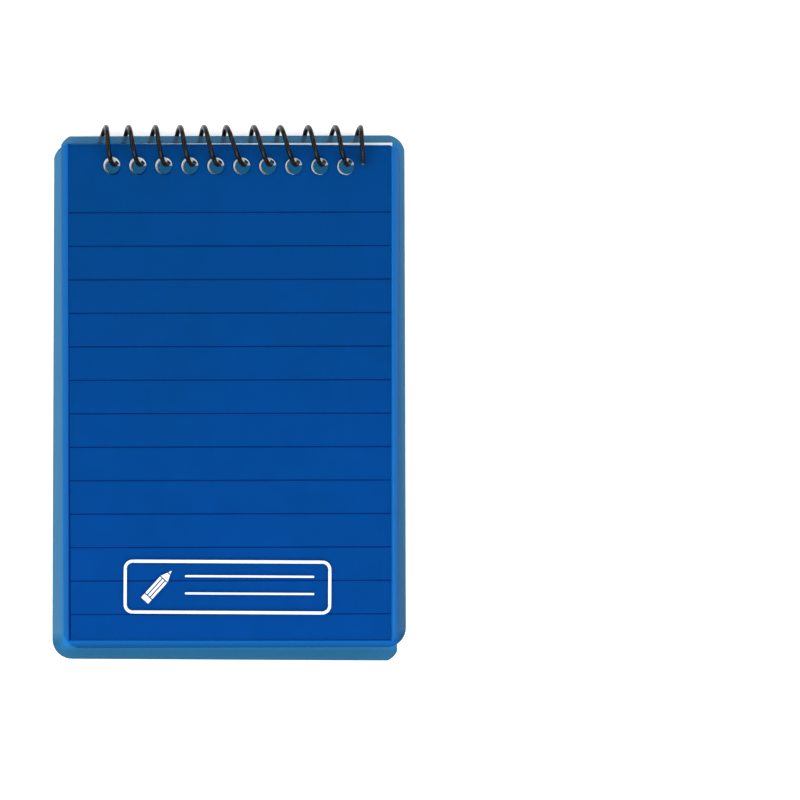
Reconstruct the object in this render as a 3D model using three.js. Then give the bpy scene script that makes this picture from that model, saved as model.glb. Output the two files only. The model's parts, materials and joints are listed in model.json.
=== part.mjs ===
// Pocket notebook: two translucent plastic covers and a block of ruled sheets, bound along
// the top edge by one continuous plastic-coated wire coil.
// Millimetres, +Z up. The notebook lies on its back cover: +X to the reader's right, +Y towards
// the coil, front cover up. The origin is the centre of the bottom of its bounding box.
import * as THREE from 'three';

// ---- driving dimensions ----

// binding: a round hole every quarter of an inch
const holePitch = 6.35;
const holeCount = 10;

// wire coil, a right-handed helix about X
const wireRadius = 0.58;
const coilRadius = 4.6; // to the centre line of the wire
const wireSides = 8;
const stepsPerTurn = 18;
const crestLeans = [1.2, 0.4, 0.6, 0.3, -0.2, -1.1, -0.7, -0.6, -0.1, 0.2, 0.1]; // bent turns
const legBend = 1.5; // bend radius where each end of the wire turns down flat
const lastTurnAdvance = 0.3; // share of the pitch that the open last turn still advances
const frontLeg = { height: 3.3, tip: -4.6 };
const backLeg = { height: -3.8, tip: -6.4 };

// covers
const coverWidth = 84.4;
const coverLength = 126;
const coverThickness = 0.5;
const coverHoleRadius = 2.05;
const coverHoleMargin = 5.25; // hole centre to the bound edge
const coverHoleOffset = 0.45; // hole row's middle, right of the cover's middle
const coverHoleSides = 16;
const cornerRadius = 4.8; // the corner cutter, which meets each corner a little differently

// sheets
const sheetCount = 40;
const sheetWidth = 78.8;
const sheetLength = 121.3;
const sheetThickness = 0.095;
const sheetStep = 0.107; // thickness and the air under it
const sheetHoleRadius = 2.05;
const sheetHoleMargin = 5.6;
const sheetHoleOffset = -0.17;
const sheetHoleSides = 6;

// where the leaves hang on the coil: heights and hole rows measured from the coil's axis
const frontCoverHeight = 2.0; // underside
const backCoverHeight = -3.05; // underside
const topSheetHeight = 1.89; // underside of the first sheet
const frontCoverHoleY = -5.05;
const backCoverHoleY = -2.63;
const topSheetHoleY = -5.3;
const bottomSheetHoleY = -4.95;
const holeLead = 0.2; // the covers and the first sheet hang this far past the middle of the wire
const bottomSheetLead = -0.5;

// ---- materials ----

const blueCover = new THREE.MeshStandardMaterial({
  name: 'blue_cover',
  color: 0x0b4d92,
  roughness: 0.45,
  metalness: 0,
  transparent: true,
  opacity: 0.85,
});
const whitePaper = new THREE.MeshStandardMaterial({
  name: 'white_paper',
  color: 0xf1f2ee,
  roughness: 0.9,
  metalness: 0,
});
const blackWire = new THREE.MeshStandardMaterial({
  name: 'black_wire',
  color: 0x17181c,
  roughness: 0.35,
  metalness: 0,
});

// ---- the wire ----

const turn = 2 * Math.PI;
const coilMiddle = holePitch * (holeCount / 2);

// a point of the helix: angle 0 is the first crest, a quarter turn later is the front
function helixPoint(angle) {
  const lastCrest = holeCount * turn;
  const steady = Math.min(angle, lastCrest) + lastTurnAdvance * Math.max(angle - lastCrest, 0);
  const index = THREE.MathUtils.clamp(Math.round(angle / turn), 0, holeCount);
  const lean = crestLeans[index] * (1 + Math.cos(angle)) / 2;
  return new THREE.Vector3(
    (holePitch * steady) / turn - coilMiddle + lean,
    coilRadius * Math.cos(angle),
    coilRadius * Math.sin(angle),
  );
}

// where the round turn gives way to the bend of a leg that runs down at this height
function legStart(height) {
  const side = Math.sign(height);
  const centreZ = height + side * legBend;
  const reach = coilRadius + legBend;
  const centreY = -Math.sqrt(reach ** 2 - centreZ ** 2);
  return { side, centreY, centreZ, angle: Math.atan2(centreZ, centreY) };
}

// points from the round turn to the tip of a leg
function legPoints(start, x, leg) {
  const points = [];
  const bendSteps = 3;
  const firstTurn = Math.atan2(-start.centreZ, -start.centreY);
  const lastTurn = -start.side * (turn / 4);
  for (let i = 1; i <= bendSteps; i += 1) {
    const angle = THREE.MathUtils.lerp(firstTurn, lastTurn, i / bendSteps);
    const y = start.centreY + legBend * Math.cos(angle);
    const z = start.centreZ + legBend * Math.sin(angle);
    points.push(new THREE.Vector3(x, y, z));
  }
  points.push(new THREE.Vector3(x, leg.tip, leg.height));
  return points;
}

function coilPath() {
  const backStart = legStart(backLeg.height);
  const frontStart = legStart(frontLeg.height);
  const firstAngle = backStart.angle;
  const lastAngle = holeCount * turn + frontStart.angle;
  const helixSteps = Math.round(((lastAngle - firstAngle) / turn) * stepsPerTurn);
  const helix = [];
  for (let i = 0; i <= helixSteps; i += 1) {
    helix.push(helixPoint(THREE.MathUtils.lerp(firstAngle, lastAngle, i / helixSteps)));
  }
  const first = helix[0];
  const last = helix[helixSteps];
  const backEnd = legPoints(backStart, first.x, backLeg).reverse();
  const frontEnd = legPoints(frontStart, last.x, frontLeg);
  return new THREE.CatmullRomCurve3([...backEnd, ...helix, ...frontEnd], false, 'centripetal');
}

function polygon(radius, sides, centreX, centreY, phase = 0) {
  const points = [];
  for (let i = 0; i < sides; i += 1) {
    const angle = phase + (i * turn) / sides;
    const x = centreX + radius * Math.cos(angle);
    const y = centreY + radius * Math.sin(angle);
    points.push(new THREE.Vector2(x, y));
  }
  return points;
}

function coilGeometry() {
  const path = coilPath();
  path.arcLengthDivisions = 2000;
  const turnLength = Math.hypot(turn * coilRadius, holePitch);
  return new THREE.ExtrudeGeometry(new THREE.Shape(polygon(wireRadius, wireSides, 0, 0)), {
    extrudePath: path,
    steps: Math.round((path.getLength() / turnLength) * stepsPerTurn),
  });
}

// ---- covers and sheets ----

// a corner cut by an arc through the points this far from the sharp corner
function addCorner(outline, cornerX, cornerY, cut) {
  const centreInset = (cut + Math.sqrt(2 * cornerRadius ** 2 - cut ** 2)) / 2;
  const inX = -Math.sign(cornerX);
  const inY = -Math.sign(cornerY);
  const centreX = cornerX + inX * centreInset;
  const centreY = cornerY + inY * centreInset;
  const onSide = [cornerX, cornerY + inY * cut];
  const onEnd = [cornerX + inX * cut, cornerY];
  const sideFirst = inX * inY > 0;
  const [from, to] = sideFirst ? [onSide, onEnd] : [onEnd, onSide];
  const start = Math.atan2(from[1] - centreY, from[0] - centreX);
  const end = Math.atan2(to[1] - centreY, to[0] - centreX);
  outline.absarc(centreX, centreY, cornerRadius, start, end, false);
}

// a leaf drawn about its own middle, with its corners in anticlockwise order from bottom left
function leafOutline(width, length, cuts) {
  const corners = [[-1, -1], [1, -1], [1, 1], [-1, 1]];
  const outline = new THREE.Shape();
  corners.forEach(([sideX, sideY], i) => {
    const x = (sideX * width) / 2;
    const y = (sideY * length) / 2;
    if (cuts) {
      addCorner(outline, x, y, cuts[i]);
    } else if (i === 0) {
      outline.moveTo(x, y);
    } else {
      outline.lineTo(x, y);
    }
  });
  return outline;
}

function leafGeometry(leaf) {
  const outline = leafOutline(leaf.width, leaf.length, leaf.cuts);
  const rowY = leaf.length / 2 - leaf.holeMargin;
  for (let i = 0; i < holeCount; i += 1) {
    const x = leaf.holeOffset + holePitch * (i - (holeCount - 1) / 2);
    const points = polygon(leaf.holeRadius, leaf.holeSides, x, rowY, turn / 4);
    outline.holes.push(new THREE.Path(points));
  }
  return new THREE.ExtrudeGeometry(outline, {
    depth: leaf.thickness,
    bevelEnabled: false,
    curveSegments: 5,
  });
}

// a leaf hangs where the wire passes through it at its own height
function hangLeaf(name, material, leaf, underside, holeY, lead) {
  const mesh = new THREE.Mesh(leafGeometry(leaf), material);
  mesh.name = name;
  const middle = underside + leaf.thickness / 2;
  const wireAngle = turn / 2 - Math.asin(middle / coilRadius);
  const firstHoleX = (holePitch * wireAngle) / turn - coilMiddle + lead;
  const rowMiddleX = firstHoleX + (holePitch * (holeCount - 1)) / 2;
  const rowY = leaf.length / 2 - leaf.holeMargin;
  mesh.position.set(rowMiddleX - leaf.holeOffset, holeY - rowY, underside);
  return mesh;
}

const cover = {
  width: coverWidth,
  length: coverLength,
  thickness: coverThickness,
  holeRadius: coverHoleRadius,
  holeMargin: coverHoleMargin,
  holeOffset: coverHoleOffset,
  holeSides: coverHoleSides,
};
const frontCover = { ...cover, cuts: [4.8, 2.3, 2.4, 3.5] };
const backCover = { ...cover, cuts: [3.5, 4.8, 3.7, 2.1] };
const sheet = {
  width: sheetWidth,
  length: sheetLength,
  thickness: sheetThickness,
  holeRadius: sheetHoleRadius,
  holeMargin: sheetHoleMargin,
  holeOffset: sheetHoleOffset,
  holeSides: sheetHoleSides,
};

// ---- assembly ----

// measured from the coil's axis, with the leaves level
const notebook = new THREE.Group();

const coil = new THREE.Mesh(coilGeometry(), blackWire);
coil.name = 'spiral_coil';
notebook.add(coil);

notebook.add(
  hangLeaf('front_cover', blueCover, frontCover, frontCoverHeight, frontCoverHoleY, holeLead),
  hangLeaf('back_cover', blueCover, backCover, backCoverHeight, backCoverHoleY, holeLead),
);

for (let i = 0; i < sheetCount; i += 1) {
  const name = `sheet_${String(i + 1).padStart(2, '0')}`;
  const depth = i / (sheetCount - 1);
  const underside = topSheetHeight - i * sheetStep;
  const holeY = THREE.MathUtils.lerp(topSheetHoleY, bottomSheetHoleY, depth);
  const lead = THREE.MathUtils.lerp(holeLead, bottomSheetLead, depth);
  notebook.add(hangLeaf(name, whitePaper, sheet, underside, holeY, lead));
}

// the coil is thicker than the leaves, so they slope down from it until the far edge
// of the back cover rests on the same surface as the coil
const backEdgeY = backCoverHoleY + coverHoleMargin - coverLength;
const coilDrop = coilRadius + wireRadius;
const slope = Math.asin(coilDrop / Math.hypot(backEdgeY, backCoverHeight));
notebook.rotation.x = slope - Math.atan2(-backCoverHeight, -backEdgeY);

const group = new THREE.Group();
group.add(notebook);
const box = new THREE.Box3().setFromObject(group, true);
const middle = box.getCenter(new THREE.Vector3());
notebook.position.set(-middle.x, -middle.y, -box.min.z);

export default group;
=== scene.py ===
import json
import math
import random

import bmesh
import bpy
from mathutils import Matrix, Vector
from mathutils.geometry import delaunay_2d_cdt


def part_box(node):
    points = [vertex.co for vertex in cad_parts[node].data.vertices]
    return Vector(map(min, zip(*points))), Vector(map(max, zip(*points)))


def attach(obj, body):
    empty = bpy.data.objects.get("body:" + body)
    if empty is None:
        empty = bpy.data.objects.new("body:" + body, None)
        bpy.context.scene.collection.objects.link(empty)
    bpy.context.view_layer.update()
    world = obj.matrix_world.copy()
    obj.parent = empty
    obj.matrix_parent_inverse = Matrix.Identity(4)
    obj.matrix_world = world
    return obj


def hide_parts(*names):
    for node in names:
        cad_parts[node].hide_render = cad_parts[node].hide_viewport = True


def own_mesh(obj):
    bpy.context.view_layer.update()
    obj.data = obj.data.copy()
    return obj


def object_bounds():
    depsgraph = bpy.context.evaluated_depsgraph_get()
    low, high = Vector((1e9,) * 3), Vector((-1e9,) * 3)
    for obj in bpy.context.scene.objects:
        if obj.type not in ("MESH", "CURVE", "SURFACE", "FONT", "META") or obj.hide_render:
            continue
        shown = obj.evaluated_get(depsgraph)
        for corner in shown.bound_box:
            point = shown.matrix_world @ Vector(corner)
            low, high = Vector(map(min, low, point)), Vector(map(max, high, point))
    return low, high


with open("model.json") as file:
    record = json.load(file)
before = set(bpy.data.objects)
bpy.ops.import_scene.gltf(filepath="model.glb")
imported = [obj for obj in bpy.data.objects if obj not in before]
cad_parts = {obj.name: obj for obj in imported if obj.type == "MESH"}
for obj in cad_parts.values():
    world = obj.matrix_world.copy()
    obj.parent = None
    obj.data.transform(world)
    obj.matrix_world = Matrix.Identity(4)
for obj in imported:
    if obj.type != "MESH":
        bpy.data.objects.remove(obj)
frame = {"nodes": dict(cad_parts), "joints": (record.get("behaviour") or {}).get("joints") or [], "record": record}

cad_low, cad_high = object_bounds()

# Pocket notebook: translucent blue covers and ruled sheets on one black plastic-coated wire coil.
# Metres. Pieces are drawn in the stack frame: origin on the coil's axis, X along it, leaves level,
# and one matrix lays the whole stack down as the CAD has it.

MM = 0.001
TURN = 2 * math.pi

# ---- driving dimensions ----

HOLE_PITCH = 6.35 * MM
HOLE_COUNT = 10
HOLE_RADIUS = 2.05 * MM
HOLE_SEGMENTS = 48
HOLE_LEAD = 0.2 * MM  # a cover hangs this far past the middle of the wire

WIRE_RADIUS = 0.58 * MM
CORE_RADIUS = 0.4 * MM  # the steel inside the plastic coat
COIL_RADIUS = 4.6 * MM
WIRE_SIDES = 20
STEPS_PER_TURN = 48
CREST_LEANS = [1.2, 0.4, 0.6, 0.3, -0.2, -1.1, -0.7, -0.6, -0.1, 0.2, 0.1]  # millimetres
LEG_BEND = 1.5 * MM
LAST_TURN_ADVANCE = 0.3
FRONT_LEG = {"height": 3.3 * MM, "tip": -4.6 * MM}
BACK_LEG = {"height": -3.8 * MM, "tip": -6.4 * MM}

COVER_HOLE_MARGIN = 5.25 * MM  # hole centre to the bound edge
COVER_HOLE_OFFSET = 0.45 * MM  # hole row's middle, right of the cover's middle
CORNER_RADIUS = 4.8 * MM
FRONT_CUTS = [4.8 * MM, 2.3 * MM, 2.4 * MM, 3.5 * MM]  # anticlockwise from bottom left
BACK_CUTS = [3.5 * MM, 4.8 * MM, 3.7 * MM, 2.1 * MM]
COVER_ROUND = 0.07 * MM  # broken edge of the punched plastic
FRONT_TURN = math.radians(-0.3)  # each cover has swung a little on the coil
BACK_TURN = math.radians(0.18)
FRONT_LIFT = 0.45 * MM  # how far the free edge springs up

SHEET_COUNT = 40
SHEET_HOLE_MARGIN = 5.6 * MM
SHEET_HOLE_OFFSET = -0.17 * MM
SHEET_LIFT = 0.3 * MM  # at the free edge of the first sheet, and less below it
SHEET_SLIP = 0.11 * MM  # sheets don't lie quite edge on edge
SHEET_TURN = math.radians(0.25)  # the sheets have swung the other way
SHEET_SKEW = math.radians(0.05)  # each by a little more or less

FIRST_RULE = -16.4 * MM  # from the coil's axis
RULE_SPACING = 8.19 * MM
RULE_COUNT = 13
RULE_WIDTH = 0.34 * MM
RULE_SKEW = math.radians(0.15)  # the print isn't quite square to the paper

# the hinge line of the front leaves, seen from the coil's axis
PIVOT_FROM_COIL = Vector((0, 0.45 * MM, 1.2 * MM))

random.seed(7)

# ---- the stack's place in the frame ----


def stack_matrix():
    """Stack frame to row frame: the slope is the back cover's, the height the hinge line's."""
    down = frame["record"]["mounts"][0]["axis"]
    slope = Matrix.Rotation(math.atan2(down[1], -down[2]), 3, "X")
    joint = next(j for j in frame["joints"] if j["name"] == "turn_front_cover")
    origin = Vector(joint["pos_m"]) - slope @ PIVOT_FROM_COIL
    low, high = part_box("front_cover")
    hung_at = row_middle(FRONT_COVER_MIDDLE) - COVER_HOLE_OFFSET
    origin.x = (low.x + high.x) / 2 - hung_at
    return Matrix.Translation(origin) @ slope.to_4x4()


def row_middle(height):
    """X of the middle of the hole row of a leaf that the wire passes through at this height."""
    angle = TURN / 2 - math.asin(height / COIL_RADIUS)
    first_hole = HOLE_PITCH * (angle / TURN - HOLE_COUNT / 2) + HOLE_LEAD
    return first_hole + HOLE_PITCH * (HOLE_COUNT - 1) / 2


FRONT_COVER_MIDDLE = 2.25 * MM
STACK = stack_matrix()
TO_STACK = STACK.inverted()


def leaf_box(node):
    """Lowest and highest corner of a leaf's CAD node, in the stack frame."""
    points = [TO_STACK @ v.co for v in frame["nodes"][node].data.vertices]
    low = Vector(min(p[i] for p in points) for i in range(3))
    high = Vector(max(p[i] for p in points) for i in range(3))
    return low, high


# ---- shader helpers ----


def srgb(red, green, blue):
    """A colour given as 0 to 255 screen values, as the linear colour of a shader."""

    def linear(value):
        value /= 255
        return value / 12.92 if value <= 0.04045 else ((value + 0.055) / 1.055) ** 2.4

    return (linear(red), linear(green), linear(blue), 1)


class Shader:
    """A material's node tree, with short ways to add to it."""

    def __init__(self, name):
        self.material = bpy.data.materials.new(name)
        self.material.use_nodes = True
        self.tree = self.material.node_tree
        self.tree.nodes.clear()
        self.place = self.add("ShaderNodeTexCoord").outputs["Object"]

    def add(self, kind, inputs=None, **settings):
        node = self.tree.nodes.new(kind)
        for key, value in settings.items():
            setattr(node, key, value)
        for key, value in (inputs or {}).items():
            if isinstance(value, bpy.types.NodeSocket):
                self.tree.links.new(value, node.inputs[key])
            else:
                node.inputs[key].default_value = value
        return node

    def math(self, operation, *values, clamp=False):
        inputs = dict(enumerate(values))
        return self.add("ShaderNodeMath", inputs, operation=operation, use_clamp=clamp).outputs[0]

    def noise(self, scale, detail=3.0, vector=None):
        inputs = {"Vector": vector or self.place, "Scale": scale, "Detail": detail}
        return self.add("ShaderNodeTexNoise", inputs).outputs["Fac"]

    def stretch(self, x, y, z):
        inputs = {"Vector": self.place, "Scale": (x, y, z)}
        return self.add("ShaderNodeMapping", inputs).outputs["Vector"]

    def ramp(self, value, low, high, to_low=0.0, to_high=1.0):
        inputs = {"Value": value, "From Min": low, "From Max": high}
        inputs.update({"To Min": to_low, "To Max": to_high})
        return self.add("ShaderNodeMapRange", inputs).outputs["Result"]

    def mix(self, factor, first, second):
        node = self.add("ShaderNodeMix", data_type="RGBA")
        sockets = (node.inputs[0], node.inputs[6], node.inputs[7])
        for socket, value in zip(sockets, (factor, first, second)):
            if isinstance(value, bpy.types.NodeSocket):
                self.tree.links.new(value, socket)
            else:
                socket.default_value = value
        return node.outputs[2]

    def bump(self, height, distance, strength=1.0):
        inputs = {"Height": height, "Distance": distance, "Strength": strength}
        return self.add("ShaderNodeBump", inputs).outputs["Normal"]

    def upright(self):
        """1 on level faces, 0 on upright ones."""
        normal = self.add("ShaderNodeTexCoord").outputs["Normal"]
        axes = self.add("ShaderNodeSeparateXYZ", {"Vector": normal})
        return self.math("ABSOLUTE", axes.outputs["Z"])

    def principled(self, **inputs):
        named = {key.replace("_", " "): value for key, value in inputs.items()}
        return self.add("ShaderNodeBsdfPrincipled", named).outputs[0]

    def finish(self, surface):
        self.add("ShaderNodeOutputMaterial", {"Surface": surface})
        return self.material


# ---- materials ----


def cover_material(name, paper_low, paper_high):
    """Frosted blue polypropylene. Where paper backs it, it looks clear and deep. Past the paper's
    edge its own haze shows, paler and greyer; next to the paper painted light makes it a brighter blue, and
    towards the bottom painted shade darkens it."""
    shader = Shader(name)
    x, y, _ = shader.add("ShaderNodeSeparateXYZ", {"Vector": shader.place}).outputs
    past = []
    for axis, at in enumerate((x, y)):
        middle = (paper_low[axis] + paper_high[axis]) / 2
        half = (paper_high[axis] - paper_low[axis]) / 2
        offset = shader.math("SUBTRACT", at, middle)
        past.append(shader.math("SUBTRACT", shader.math("ABSOLUTE", offset), half))
    edge_distance = shader.math("MAXIMUM", *past)
    margin = shader.ramp(edge_distance, -0.1 * MM, 0.25 * MM)
    outer = shader.ramp(edge_distance, 0.5 * MM, 2.6 * MM)
    above = shader.ramp(y, paper_high[1], paper_high[1] + 0.3 * MM)
    # painted shade: this mask darkens the haze of the bottom margin
    below = shader.ramp(y, paper_low[1] - 0.5 * MM, paper_low[1] + 2 * MM, 1.0, 0.0)
    outer = shader.math("MAXIMUM", outer, above)
    cloud = shader.noise(35.0, 4.0)
    flow = shader.noise(20.0, 3.0, shader.stretch(1.0, 6.0, 1.0))
    grain = shader.noise(9000.0, 2.0)
    frost = shader.noise(2600.0, 3.0)

    # painted light: the tint brightens down the cover, and unevenly, as if more light fell on its lower part
    along = shader.ramp(y, paper_high[1], paper_low[1])
    along = shader.math("ADD", along, shader.ramp(cloud, 0.3, 0.7, -0.15, 0.15), clamp=True)
    tint_and_light = shader.mix(along, (0.165, 0.47, 0.668, 1), (0.17, 0.485, 0.72, 1))
    tint_and_light = shader.mix(margin, tint_and_light, (0.19, 0.51, 0.7, 1))
    # the cover's own pale haze, and painted shade towards the bottom
    pale = shader.mix(below, srgb(92, 132, 158), srgb(34, 72, 104))
    # painted light: next to the paper the margin haze is a bright blue; farther out it is the cover's own pale
    # haze, with painted shade towards the bottom
    margin_haze_light_and_shade = shader.mix(outer, srgb(14, 134, 222), pale)
    haze_light_and_shade_colour = shader.mix(margin, srgb(6, 70, 150), margin_haze_light_and_shade)
    haze_share = shader.ramp(margin, 0.0, 1.0, 0.006, 0.4)
    streaks = shader.ramp(flow, 0.3, 0.7, -0.004, 0.006)
    haze_share = shader.math("ADD", haze_share, streaks, clamp=True)

    clear = shader.add("ShaderNodeBsdfTransparent", {"Color": tint_and_light}).outputs[0]
    height = shader.math("ADD", shader.math("MULTIPLY", grain, 0.5), frost)
    relief = shader.bump(height, 0.02 * MM, 0.5)
    body = shader.principled(
        Base_Color=haze_light_and_shade_colour,
        Roughness=shader.ramp(frost, 0.3, 0.7, 0.34, 0.46),
        Specular_IOR_Level=0.15,
        Normal=relief,
    )
    sheen_inputs = {"Color": (1, 1, 1, 1), "Roughness": 0.36, "Normal": relief}
    sheen = shader.add("ShaderNodeBsdfGlossy", sheen_inputs).outputs[0]
    hazy = shader.add("ShaderNodeMixShader", {0: haze_share, 1: clear, 2: body}).outputs[0]
    rim = shader.add("ShaderNodeFresnel", {"IOR": 1.1}).outputs[0]
    face = shader.add("ShaderNodeMixShader", {0: rim, 1: hazy, 2: sheen}).outputs[0]

    # the cut edge is seen through the width of the sheet, so it looks nearly solid
    edge = shader.ramp(shader.upright(), 0.9, 0.5, 0.0, 0.8)
    cut = shader.principled(
        Base_Color=shader.mix(shader.ramp(frost, 0.3, 0.7), srgb(6, 62, 122), srgb(12, 80, 146)),
        Roughness=0.4,
        Specular_IOR_Level=0.3,
    )
    return shader.finish(shader.add("ShaderNodeMixShader", {0: edge, 1: face, 2: cut}).outputs[0])


def paper_material():
    """Smooth uncoated writing paper, with printed rules on both sides."""
    shader = Shader("ruled_paper")
    fibre = shader.noise(1500.0, 4.0, shader.stretch(1.0, 0.35, 1.0))
    cloud = shader.noise(160.0, 3.0)
    colour = shader.mix(shader.ramp(cloud, 0.3, 0.7), srgb(243, 244, 242), srgb(249, 250, 249))
    colour = shader.mix(shader.ramp(fibre, 0.55, 0.8, 0.0, 0.12), colour, srgb(214, 216, 214))

    x, y, _ = shader.add("ShaderNodeSeparateXYZ", {"Vector": shader.place}).outputs
    slant = shader.math("MULTIPLY", x, math.tan(RULE_SKEW))
    level = shader.math("SUBTRACT", y, slant)
    rows = shader.math("DIVIDE", shader.math("SUBTRACT", FIRST_RULE, level), RULE_SPACING)
    away = shader.math("MULTIPLY", shader.math("PINGPONG", rows, 0.5), RULE_SPACING)
    ink = shader.ramp(away, RULE_WIDTH * 0.62, RULE_WIDTH * 0.38)
    after_first = shader.math("GREATER_THAN", rows, -0.5)
    before_last = shader.math("LESS_THAN", rows, RULE_COUNT - 0.5)
    inside = shader.math("MULTIPLY", after_first, before_last)
    worn = shader.ramp(shader.noise(4200.0, 2.0), 0.35, 0.6, 0.78, 1.0)
    ink = shader.math("MULTIPLY", shader.math("MULTIPLY", ink, inside), worn)
    colour = shader.mix(ink, colour, srgb(130, 148, 176))

    # the cut edges of the block catch less light between the sheets
    side = shader.ramp(shader.upright(), 0.5, 0.2)
    colour = shader.mix(side, colour, srgb(158, 160, 156))
    return shader.finish(shader.principled(
        Base_Color=colour,
        Roughness=shader.ramp(fibre, 0.3, 0.7, 0.82, 0.95),
        Specular_IOR_Level=0.2,
        Normal=shader.bump(fibre, 0.012 * MM, 0.35),
    ))


def wire_material():
    """Black nylon coat: satin, with a drawn grain along the wire and rubbed, duller stretches."""
    shader = Shader("black_nylon")
    grain = shader.noise(2400.0, 3.0)
    rubbed = shader.ramp(shader.noise(420.0, 4.0), 0.52, 0.72)
    colour = shader.mix(rubbed, (0.003, 0.003, 0.0035, 1), (0.012, 0.011, 0.01, 1))
    return shader.finish(shader.principled(
        Base_Color=colour,
        Roughness=shader.ramp(rubbed, 0.0, 1.0, 0.22, 0.36),
        Specular_IOR_Level=0.22,
        Normal=shader.bump(grain, 0.02 * MM, 0.5),
    ))


def steel_material():
    """The wire's steel core, where each end is cut."""
    shader = Shader("cut_steel")
    scratch = shader.noise(6000.0, 2.0, shader.stretch(1.0, 0.1, 1.0))
    polish = shader.ramp(scratch, 0.3, 0.7)
    colour = shader.mix(polish, (0.42, 0.42, 0.43, 1), (0.62, 0.62, 0.63, 1))
    return shader.finish(shader.principled(
        Base_Color=colour,
        Metallic=1.0,
        Roughness=shader.ramp(scratch, 0.3, 0.7, 0.25, 0.5),
    ))


def ink_material():
    """White screen-printing ink: nearly solid, with a fine pinholed texture."""
    shader = Shader("white_print")
    mottle = shader.noise(3200.0, 3.0)
    colour = shader.mix(shader.ramp(mottle, 0.3, 0.75), srgb(246, 248, 253), srgb(232, 238, 249))
    return shader.finish(shader.principled(
        Base_Color=colour,
        Roughness=shader.ramp(mottle, 0.3, 0.7, 0.45, 0.6),
        Specular_IOR_Level=0.25,
        Normal=shader.bump(mottle, 0.01 * MM, 0.4),
    ))


def floor_material():
    """Plain white sweep, lit until it is nearly pure white."""
    shader = Shader("white_floor")
    tooth = shader.noise(60.0, 3.0)
    colour = shader.mix(shader.ramp(tooth, 0.3, 0.7), (0.93, 0.93, 0.93, 1), (0.95, 0.95, 0.95, 1))
    return shader.finish(shader.principled(
        Base_Color=colour,
        Roughness=0.9,
        Specular_IOR_Level=0.1,
        Emission_Color=(1, 1, 1, 1),
        Emission_Strength=0.4,
    ))


# ---- meshes ----


def circle(centre_x, centre_y, radius, segments):
    """Points of a circle, anticlockwise."""
    centre = Vector((centre_x, centre_y))
    angles = [TURN * i / segments for i in range(segments)]
    return [centre + radius * Vector((math.cos(a), math.sin(a))) for a in angles]


def corner_arc(corner, inward, cut, radius, steps=9):
    """A corner cut by an arc through the points this far from the sharp corner, anticlockwise."""
    inset = (cut + math.sqrt(2 * radius**2 - cut**2)) / 2
    centre = corner + inward * inset
    on_side = corner + Vector((0, inward.y * cut))
    on_end = corner + Vector((inward.x * cut, 0))
    first, last = (on_side, on_end) if inward.x * inward.y > 0 else (on_end, on_side)
    start = math.atan2(first.y - centre.y, first.x - centre.x)
    sweep = (math.atan2(last.y - centre.y, last.x - centre.x) - start) % TURN
    angles = [start + sweep * i / steps for i in range(steps + 1)]
    return [centre + radius * Vector((math.cos(a), math.sin(a))) for a in angles]


def rectangle(low, high, cuts=None, radius=CORNER_RADIUS, spacing=4 * MM):
    """Outline of a leaf, anticlockwise from bottom left, with points along its long sides."""
    corners = [Vector((low[0], low[1])), Vector((high[0], low[1]))]
    corners += [Vector((high[0], high[1])), Vector((low[0], high[1]))]
    inward = [Vector((1, 1)), Vector((-1, 1)), Vector((-1, -1)), Vector((1, -1))]
    rounded = []
    for i, corner in enumerate(corners):
        rounded.append(corner_arc(corner, inward[i], cuts[i], radius) if cuts else [corner])
    outline = []
    for i, points in enumerate(rounded):
        outline += points
        following = rounded[(i + 1) % len(rounded)][0]
        count = max(1, round((following - points[-1]).length / spacing))
        outline += [points[-1].lerp(following, k / count) for k in range(1, count)]
    return outline


def shrunk(loop, distance):
    """A loop moved this far to its left: inwards for an anticlockwise outline."""
    moved = []
    for i, point in enumerate(loop):
        before = (point - loop[i - 1]).normalized()
        after = (loop[(i + 1) % len(loop)] - point).normalized()
        along = (before + after).normalized()
        moved.append(point + distance * Vector((-along.y, along.x)))
    return moved


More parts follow.
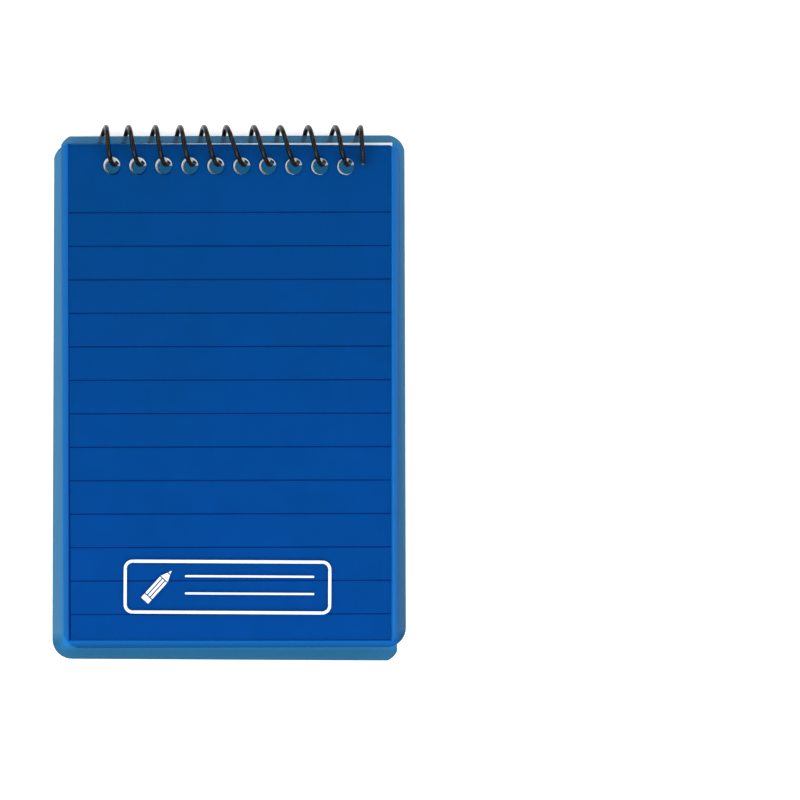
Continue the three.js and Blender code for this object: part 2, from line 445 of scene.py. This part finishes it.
def plate(outline, holes, thickness, edge_round=0.0, spacing=4 * MM):
    """A flat solid with round holes, given as (centre, radius), and broken edges. Its faces carry
    a grid of points, so that it can be bowed. The underside is at 0."""
    hole_loops = [circle(*centre, radius, HOLE_SEGMENTS)[::-1] for centre, radius in holes]
    loops = [outline] + hole_loops
    inner_loops = [shrunk(loop, edge_round) for loop in loops] if edge_round else loops
    points, edges = [], []
    for loop in inner_loops:
        start = len(points)
        points += loop
        edges += [(start + i, start + (i + 1) % len(loop)) for i in range(len(loop))]
    low = Vector((min(p.x for p in outline), min(p.y for p in outline)))
    high = Vector((max(p.x for p in outline), max(p.y for p in outline)))
    columns = round((high.x - low.x) / spacing)
    rows = round((high.y - low.y) / spacing)
    for i in range(1, columns):
        for j in range(1, rows):
            x = low.x + (high.x - low.x) * i / columns
            y = low.y + (high.y - low.y) * j / rows
            point = Vector((x, y))
            if all((point - Vector(c)).length > r + spacing * 0.2 for c, r in holes):
                points.append(point)
    found, _, faces, sources, _, _ = delaunay_2d_cdt(points, edges, [], 0, 1e-9)
    place = {old: new for new, olds in enumerate(sources) for old in olds}

    def in_hole(face):
        middle = sum((Vector(found[v]) for v in face), Vector((0, 0))) / 3
        return any((middle - Vector(c)).length < r for c, r in holes)

    mesh = bmesh.new()
    top = [mesh.verts.new((p[0], p[1], thickness)) for p in found]
    bottom = [mesh.verts.new((p[0], p[1], 0)) for p in found]
    for face in faces:
        if not in_hole(face):
            mesh.faces.new([top[v] for v in face])
            mesh.faces.new([bottom[v] for v in reversed(face)])
    start = 0
    for loop, inner in zip(loops, inner_loops):
        rim = [place[start + i] for i in range(len(inner))]
        start += len(inner)
        rings = [[top[i] for i in rim]]
        if edge_round:
            for z in (thickness - edge_round, edge_round):
                rings.append([mesh.verts.new((p.x, p.y, z)) for p in loop])
        rings.append([bottom[i] for i in rim])
        for upper, lower in zip(rings, rings[1:]):
            for i in range(len(rim)):
                k = (i + 1) % len(rim)
                mesh.faces.new([upper[i], lower[i], lower[k], upper[k]])
    bmesh.ops.delete(mesh, geom=[v for v in mesh.verts if not v.link_faces], context="VERTS")
    return mesh


def lift_edge(mesh, hinge_y, free_y, lift, roll=0.0):
    """Bows a leaf so that its free edge rises, a little more on one side with roll."""
    for v in mesh.verts:
        share = min(max((hinge_y - v.co.y) / (hinge_y - free_y), 0.0), 1.0)
        v.co.z += lift * share**2 * (1 + roll * v.co.x / (40 * MM))


def swing(mesh, angle, pivot):
    """Turns a leaf in its own plane about a point of its hole row."""
    bmesh.ops.rotate(mesh, verts=mesh.verts, cent=pivot, matrix=Matrix.Rotation(angle, 3, "Z"))


def add_piece(name, mesh, materials, body, smooth_angle=math.radians(32)):
    """Makes a piece from a mesh in the stack frame, and has it ride on a CAD body."""
    data = bpy.data.meshes.new(name)
    bmesh.ops.recalc_face_normals(mesh, faces=mesh.faces)
    for face in mesh.faces:
        face.smooth = True
    for edge in mesh.edges:
        edge.smooth = len(edge.link_faces) == 2 and edge.calc_face_angle() < smooth_angle
    mesh.to_mesh(data)
    mesh.free()
    for material in materials:
        data.materials.append(material)
    piece = bpy.data.objects.new(name, data)
    bpy.context.scene.collection.objects.link(piece)
    piece.matrix_world = STACK
    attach(piece, body)
    return piece


def travel(piece):
    """Gives the piece a mesh of its own. The helix would carry a turning leaf along the coil; that shift is not
    made here.
    """
    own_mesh(piece)


# ---- leaves ----


def hole_row(low, high, offset, margin):
    """The (centre, radius) of each hole of a leaf that fills this box."""
    middle = (low.x + high.x) / 2 + offset
    y = high.y - margin
    across = [middle + HOLE_PITCH * (i - (HOLE_COUNT - 1) / 2) for i in range(HOLE_COUNT)]
    return [((x, y), HOLE_RADIUS) for x in across]


def add_cover(node, cuts, turned, lift, material):
    low, high = leaf_box(node)
    holes = hole_row(low, high, COVER_HOLE_OFFSET, COVER_HOLE_MARGIN)
    mesh = plate(rectangle(low, high, cuts), holes, high.z - low.z, COVER_ROUND)
    hinge_y = high.y - COVER_HOLE_MARGIN
    middle = (low.x + high.x) / 2
    lift_edge(mesh, hinge_y, low.y, lift, 0.25)
    swing(mesh, turned, (middle, hinge_y, 0))
    bmesh.ops.translate(mesh, verts=mesh.verts, vec=(0, 0, low.z))
    piece = add_piece(f"{node}_sheet", mesh, [material], node)
    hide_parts(node)
    return piece


def add_sheet(index, material, body):
    node = f"sheet_{index + 1:02d}"
    low, high = leaf_box(node)
    holes = hole_row(low, high, SHEET_HOLE_OFFSET, SHEET_HOLE_MARGIN)
    mesh = plate(rectangle(low, high), holes, high.z - low.z, 0.0, 6 * MM)
    hinge_y = high.y - SHEET_HOLE_MARGIN
    share = 1 - index / (SHEET_COUNT - 1)
    lift_edge(mesh, hinge_y, low.y, SHEET_LIFT * share**2, 0.25)
    turned = SHEET_TURN + random.uniform(-SHEET_SKEW, SHEET_SKEW)
    swing(mesh, turned, ((low.x + high.x) / 2, hinge_y, 0))
    slip = [random.uniform(-SHEET_SLIP, SHEET_SLIP) for _ in range(2)]
    bmesh.ops.translate(mesh, verts=mesh.verts, vec=(slip[0], slip[1], low.z))
    piece = add_piece(f"page_{index + 1:02d}", mesh, [material], body)
    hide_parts(node)
    return piece


def body_of(node):
    bodies = frame["record"]["behaviour"]["bodies"]
    return next(name for name, nodes in bodies.items() if node in nodes)


# ---- coil ----


def helix_point(angle):
    """A point of the coil's centre line: 0 is the first crest, a quarter turn later the front."""
    last_crest = HOLE_COUNT * TURN
    steady = min(angle, last_crest) + LAST_TURN_ADVANCE * max(angle - last_crest, 0)
    index = min(max(round(angle / TURN), 0), HOLE_COUNT)
    lean = CREST_LEANS[index] * MM * (1 + math.cos(angle)) / 2
    x = HOLE_PITCH * (steady / TURN - HOLE_COUNT / 2) + lean
    return Vector((x, COIL_RADIUS * math.cos(angle), COIL_RADIUS * math.sin(angle)))


def leg_start(height):
    """Where the round turn gives way to the bend of a leg that runs down at this height."""
    side = math.copysign(1, height)
    centre_z = height + side * LEG_BEND
    centre_y = -math.sqrt((COIL_RADIUS + LEG_BEND) ** 2 - centre_z**2)
    return side, centre_y, centre_z


def leg_points(x, leg, steps=10):
    """Points from the round turn to the tip of a leg."""
    side, centre_y, centre_z = leg_start(leg["height"])
    first = math.atan2(-centre_z, -centre_y)
    last = -side * TURN / 4
    points = []
    for i in range(1, steps + 1):
        angle = first + (last - first) * i / steps
        y = centre_y + LEG_BEND * math.cos(angle)
        points.append(Vector((x, y, centre_z + LEG_BEND * math.sin(angle))))
    straight = [points[-1].y + (leg["tip"] - points[-1].y) * i / 4 for i in range(1, 5)]
    return points + [Vector((x, y, leg["height"])) for y in straight]


def coil_line():
    _, y, z = leg_start(BACK_LEG["height"])
    first = math.atan2(z, y)
    _, y, z = leg_start(FRONT_LEG["height"])
    last = HOLE_COUNT * TURN + math.atan2(z, y)
    steps = round((last - first) / TURN * STEPS_PER_TURN)
    helix = [helix_point(first + (last - first) * i / steps) for i in range(steps + 1)]
    back = leg_points(helix[0].x, BACK_LEG)
    return back[::-1] + helix + leg_points(helix[-1].x, FRONT_LEG)


def add_coil(coat, steel):
    line = coil_line()
    mesh = bmesh.new()
    rings = []
    side = Vector((1, 0, 0))
    for i, point in enumerate(line):
        along = (line[min(i + 1, len(line) - 1)] - line[max(i - 1, 0)]).normalized()
        side = (side - along * side.dot(along)).normalized()
        up = along.cross(side)
        angles = [TURN * k / WIRE_SIDES for k in range(WIRE_SIDES)]
        spokes = [side * math.cos(a) + up * math.sin(a) for a in angles]
        rings.append((point, along, spokes))

    def ring(index, radius, forward=0.0):
        point, along, spokes = rings[index]
        return [mesh.verts.new(point + along * forward + spoke * radius) for spoke in spokes]

    def band(first, second, material):
        for k in range(WIRE_SIDES):
            n = (k + 1) % WIRE_SIDES
            face = mesh.faces.new([first[k], first[n], second[n], second[k]])
            face.material_index = material

    tube = [ring(i, WIRE_RADIUS) for i in range(len(line))]
    for first, second in zip(tube, tube[1:]):
        band(first, second, 0)
    burr = 0.05 * MM
    for end, direction in ((0, -1), (len(line) - 1, 1)):
        shoulder = ring(end, WIRE_RADIUS - burr, direction * burr)
        coat_inside = ring(end, CORE_RADIUS, direction * burr)
        core = ring(end, CORE_RADIUS - burr / 2, direction * burr * 2)
        band(tube[end], shoulder, 0)
        band(shoulder, coat_inside, 0)
        band(coat_inside, core, 1)
        mesh.faces.new(core).material_index = 1
    piece = add_piece("wire_coil", mesh, [coat, steel], "binding", math.radians(50))
    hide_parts("spiral_coil")


# ---- print on the front cover ----

PRINT_WIDTH = 50.8 * MM
PRINT_HEIGHT = 13.2 * MM
PRINT_ABOVE_EDGE = 17.8 * MM  # middle of the print above the cover's bottom edge
PRINT_RIGHT = 0.6 * MM  # and right of the cover's middle
PRINT_THICKNESS = 0.015 * MM
PRINT_STROKE = 0.75 * MM
PRINT_CORNER = 2.2 * MM
WRITING_LINE = 0.5 * MM
LINE_START = 15 * MM  # inside the frame's left edge
LINE_END = 4.2 * MM  # and inside its right one
PENCIL_INSET = 8.2 * MM


def bar(left, bottom, right, top, radius):
    """A strip with rounded corners."""
    return rectangle((left, bottom), (right, top), [radius] * 4, radius, 2 * MM)


def add_print(material):
    """A plain name panel: a rounded frame, a pencil, and two lines to write on."""
    low, high = leaf_box("front_cover")
    middle = (low.x + high.x) / 2 + PRINT_RIGHT
    base = low.y + PRINT_ABOVE_EDGE
    left = middle - PRINT_WIDTH / 2
    right = middle + PRINT_WIDTH / 2
    bottom = base - PRINT_HEIGHT / 2
    top = base + PRINT_HEIGHT / 2
    stroke = PRINT_STROKE
    corner = PRINT_CORNER
    strips = [
        bar(left + corner, top - stroke, right - corner, top, stroke * 0.4),
        bar(left + corner, bottom, right - corner, bottom + stroke, stroke * 0.4),
        bar(left, bottom + corner, left + stroke, top - corner, stroke * 0.4),
        bar(right - stroke, bottom + corner, right, top - corner, stroke * 0.4),
    ]
    for x, y, start in ((right, top, 0), (left, top, 1), (left, bottom, 2), (right, bottom, 3)):
        inward = Vector((math.copysign(corner, middle - x), math.copysign(corner, base - y)))
        centre = Vector((x, y)) + inward
        angles = [TURN / 4 * (start + k / 10) for k in range(11)]
        outer = [centre + corner * Vector((math.cos(a), math.sin(a))) for a in angles]
        inner = [centre + (corner - stroke) * Vector((math.cos(a), math.sin(a))) for a in angles]
        strips.append(outer + inner[::-1])
    for share in (0.36, 0.68):
        y = bottom + PRINT_HEIGHT * share
        line_left, line_right = left + LINE_START, right - LINE_END
        strips.append(bar(line_left, y, line_right, y + WRITING_LINE, WRITING_LINE * 0.4))
    pencil_middle = Vector((left + PENCIL_INSET, base))
    for shape in pencil_outlines():
        strips.append([pencil_middle + point for point in shape])
    mesh = bmesh.new()
    for strip in strips:
        upper = [mesh.verts.new((p.x, p.y, high.z + PRINT_THICKNESS)) for p in strip]
        lower = [mesh.verts.new((p.x, p.y, high.z)) for p in strip]
        mesh.faces.new(upper)
        mesh.faces.new(lower[::-1])
        for i in range(len(strip)):
            k = (i + 1) % len(strip)
            mesh.faces.new([upper[i], lower[i], lower[k], upper[k]])
    bmesh.ops.triangulate(mesh, faces=[f for f in mesh.faces if len(f.verts) > 4])
    hinge_y = high.y - COVER_HOLE_MARGIN
    lift_edge(mesh, hinge_y, low.y, FRONT_LIFT, 0.25)
    swing(mesh, FRONT_TURN, ((low.x + high.x) / 2, hinge_y, 0))
    return add_piece("name_panel_print", mesh, [material], "front_cover")


def pencil_outlines():
    """Eraser, barrel facets and point of a pencil that leans to the right, about the origin."""
    half = 1.15 * MM
    gap = 0.28 * MM
    facet = (2 * half - 2 * gap) / 3
    tail = -4.6 * MM
    shoulder = 2.3 * MM
    shapes = [[(tail, -half), (tail + 1.3 * MM, -half), (tail + 1.3 * MM, half), (tail, half)]]
    for i in range(3):
        y = -half + i * (facet + gap)
        start = tail + 1.3 * MM + gap
        shapes.append([(start, y), (shoulder, y), (shoulder, y + facet), (start, y + facet)])
    start = shoulder + gap
    lead = shoulder + 1.9 * MM
    shapes.append([(start, -half), (lead, -0.42 * MM), (lead, 0.42 * MM), (start, half)])
    shapes.append([(lead + gap, -0.32 * MM), (lead + 1.1 * MM, 0), (lead + gap, 0.32 * MM)])
    lean = Matrix.Rotation(math.radians(48), 2)
    return [[lean @ Vector(point) for point in shape] for shape in shapes]


# ---- assembly ----


def add_notebook():
    top_low, top_high = leaf_box("sheet_01")
    under_low, under_high = leaf_box(f"sheet_{SHEET_COUNT:02d}")
    front_blue = cover_material("blue_frosted_front", top_low, top_high)
    back_blue = cover_material("blue_frosted_back", under_low, under_high)
    front = add_cover("front_cover", FRONT_CUTS, FRONT_TURN, FRONT_LIFT, front_blue)
    back = add_cover("back_cover", BACK_CUTS, BACK_TURN, 0.0, back_blue)
    print_piece = add_print(ink_material())
    travel(front)
    travel(print_piece)
    travel(back)
    paper = paper_material()
    for index in range(SHEET_COUNT):
        body = body_of(f"sheet_{index + 1:02d}")
        page = add_sheet(index, paper, body)
        if body == "upper_pages":
            travel(page)
    add_coil(wire_material(), steel_material())


# ---- floor, lights and camera ----


def add_floor():
    mesh = bmesh.new()
    bmesh.ops.create_grid(mesh, x_segments=4, y_segments=4, size=1.5)
    data = bpy.data.meshes.new("floor")
    mesh.to_mesh(data)
    mesh.free()
    data.materials.append(floor_material())
    floor = bpy.data.objects.new("floor", data)
    floor.location.z = -0.03 * MM
    bpy.context.scene.collection.objects.link(floor)


def add_softbox(name, azimuth, elevation, power, size, distance=1.1):
    """An area light that looks at the notebook from this direction. Azimuth 0 is towards +X."""
    light = bpy.data.lights.new(name, "AREA")
    light.shape = "RECTANGLE"
    light.size, light.size_y = size
    light.energy = power
    box = bpy.data.objects.new(name, light)
    turn, rise = math.radians(azimuth), math.radians(elevation)
    level = math.cos(rise)
    towards = Vector((math.cos(turn) * level, math.sin(turn) * level, math.sin(rise)))
    box.location = towards * distance
    box.rotation_euler = towards.to_track_quat("Z", "Y").to_euler()
    bpy.context.scene.collection.objects.link(box)


def add_lights():
    add_softbox("near_softbox", -90, 42, 9.6, (1.3, 0.6))
    add_softbox("far_softbox", 90, 42, 4.9, (1.3, 0.6))
    add_softbox("left_softbox", 180, 45, 5.6, (1.1, 0.6))
    add_softbox("right_softbox", 0, 45, 5.6, (1.1, 0.6))
    world = bpy.data.worlds.new("studio")
    world.use_nodes = True
    background = world.node_tree.nodes["Background"]
    background.inputs["Color"].default_value = (1, 1, 1, 1)
    background.inputs["Strength"].default_value = 0.16
    bpy.context.scene.world = world


def add_camera():
    """Straight down on the notebook, which lies left of the middle of the view."""
    camera = bpy.data.cameras.new("camera")
    distance = 0.75
    view_width = 195.4 * MM  # at the height of the front cover
    camera.sensor_width = 36.0
    camera.lens = camera.sensor_width * distance / view_width
    eye = bpy.data.objects.new("camera", camera)
    middle = (cad_low + cad_high) / 2
    from_notebook = Vector((41.68 * MM, -1.92 * MM, 0))
    eye.location = Vector((middle.x, middle.y, cad_high.z - 3 * MM + distance)) + from_notebook
    bpy.context.scene.collection.objects.link(eye)
    bpy.context.scene.camera = eye
    bpy.context.scene.view_settings.view_transform = "Standard"


add_camera()
add_lights()
add_floor()
add_notebook()
